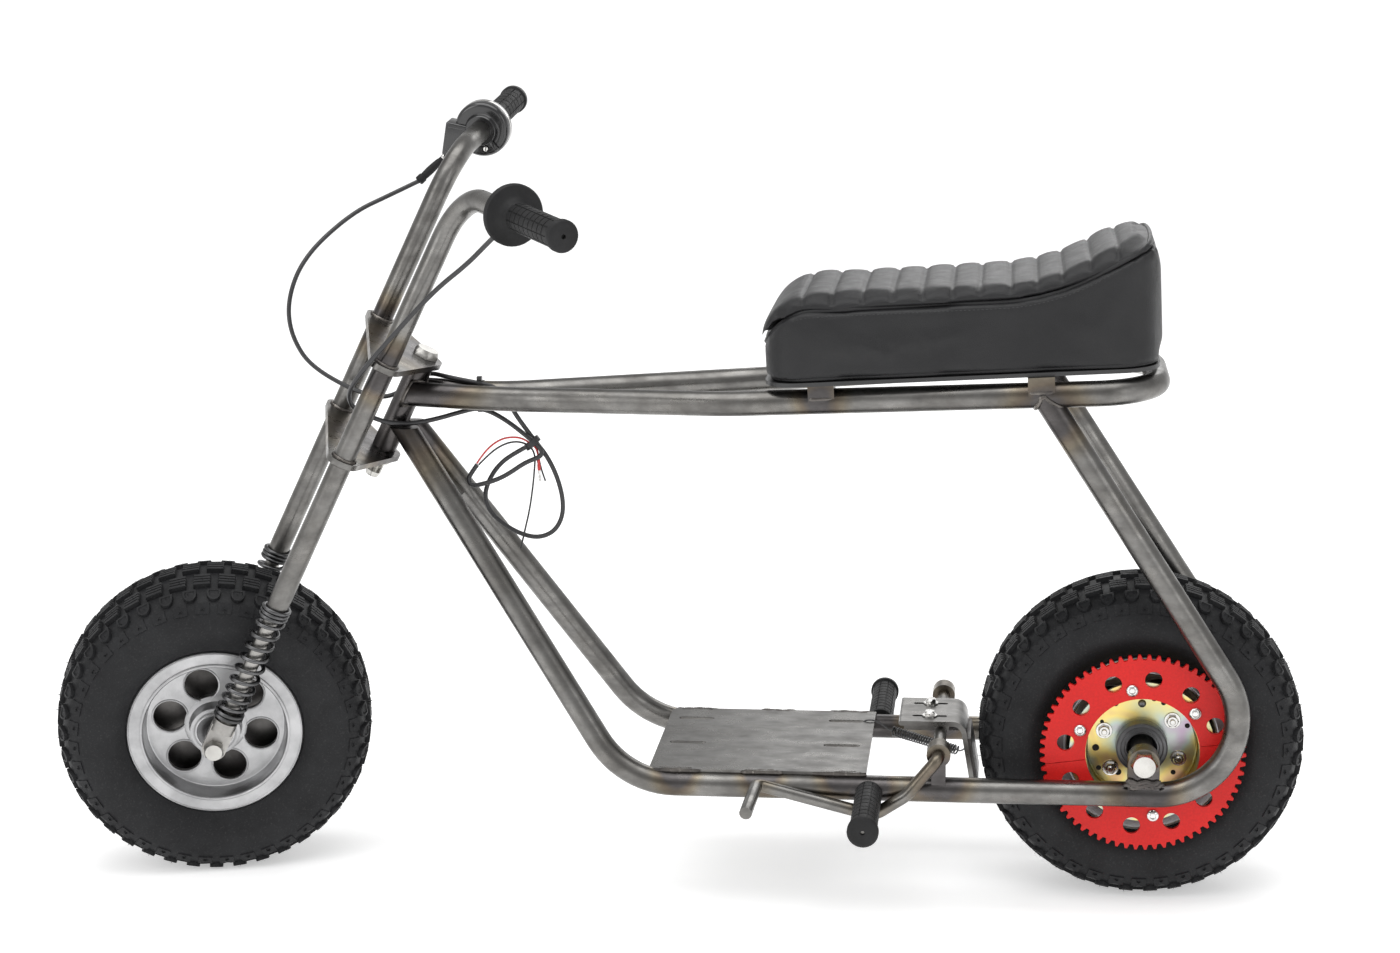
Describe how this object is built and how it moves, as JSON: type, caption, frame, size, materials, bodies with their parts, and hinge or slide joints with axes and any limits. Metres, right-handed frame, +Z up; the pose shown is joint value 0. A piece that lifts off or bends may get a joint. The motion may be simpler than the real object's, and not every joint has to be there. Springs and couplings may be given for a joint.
{
  "type": "minibike rolling chassis",
  "caption": "Small two-wheeled motorcycle chassis of bent steel tube with a padded seat, sprung fork, bars, foot pegs and a rear drive sprocket.",
  "frame": {"origin": "on top of the seat, where the rider sits, on the machine's middle plane", "axes": "+X to the rear, +Y to the rider's right, +Z up"},
  "size_m": [1.3089, 0.6051, 0.8096],
  "materials": {
    "steel_tube": "bare mild steel tube, mill scale and heat marks",
    "steel_plate": "bare steel plate",
    "dark_steel": "dark oiled steel",
    "zinc_hardware": "bright zinc plated",
    "gold_zinc": "yellow passivated zinc",
    "cast_aluminium": "bare cast and turned aluminium",
    "red_anodised": "satin red anodised",
    "tyre_rubber": "black rubber",
    "grip_rubber": "black rubber",
    "black_plastic": "black moulded plastic",
    "red_plastic": "red moulded plastic",
    "seat_vinyl": "black grained vinyl",
    "bearing_steel": "ground steel"
  },
  "bodies": {
    "frame": {"head_tube": "steel_tube", "top_rails": "steel_tube", "left_loop": "steel_tube", "right_loop": "steel_tube", "engine_plate": "steel_plate", "left_peg_bar": "steel_tube", "right_peg_bar": "steel_tube", "left_peg_grip": "grip_rubber", "right_peg_grip": "grip_rubber", "seat_tabs": "steel_plate", "seat_pan": "black_plastic", "seat_body": "seat_vinyl", "seat_pad": "seat_vinyl", "left_axle_mount": "steel_tube", "right_axle_mount": "steel_tube", "rear_axle": "zinc_hardware", "rear_spacers": "dark_steel", "left_brake_bushing": "steel_tube", "right_brake_bushing": "steel_tube", "brake_lever": "steel_tube", "brake_shoe": "steel_plate", "brake_pad": "dark_steel", "brake_arm": "steel_plate", "brake_spring": "zinc_hardware", "gusset": "steel_plate", "throttle_cable": "black_plastic", "switch_lead": "black_plastic", "red_wire": "red_plastic", "black_wire": "black_plastic", "cord_tie": "black_plastic", "rail_tie": "black_plastic", "red_terminal": "red_plastic"},
    "steering": {"left_fork_tube": "steel_tube", "right_fork_tube": "steel_tube", "lower_fork_plate": "steel_plate", "upper_fork_plate": "steel_plate", "stem_bolt": "dark_steel", "stem_nut": "zinc_hardware", "left_slider": "steel_tube", "right_slider": "steel_tube", "left_fork_spring": "dark_steel", "right_fork_spring": "dark_steel", "front_axle": "zinc_hardware", "front_spacers": "dark_steel", "left_grip": "grip_rubber", "right_grip": "grip_rubber", "throttle_housing": "black_plastic", "cable_boot": "grip_rubber"},
    "front_wheel": {"front_tyre": "tyre_rubber", "front_rim": "cast_aluminium", "front_bearings": "bearing_steel"},
    "rear_wheel": {"rear_tyre": "tyre_rubber", "rear_rim": "cast_aluminium", "rear_bearings": "bearing_steel", "sprocket_upper": "red_anodised", "sprocket_lower": "red_anodised", "sprocket_carrier": "gold_zinc", "sprocket_bolts": "zinc_hardware", "hub_housing": "bearing_steel", "carrier_bolts": "zinc_hardware"}
  },
  "joints": [
    {"name": "steering", "type": "hinge", "parent": "frame", "child": "steering", "pos_m": [-0.5919, 0, -0.13588], "axis": [0.4415, 0, 0.8973], "range_deg": [-51, 19], "deforming": ["throttle_cable", "switch_lead"]},
    {"name": "front_wheel_spin", "type": "hinge", "parent": "steering", "child": "front_wheel", "pos_m": [-0.80642, -0.01254, -0.47278], "axis": [-0.2473, 0.9613, 0.1217], "continuous": true},
    {"name": "rear_wheel_spin", "type": "hinge", "parent": "frame", "child": "rear_wheel", "pos_m": [0.17, 0, -0.472], "axis": [0, 1, 0], "continuous": true}
  ]
}
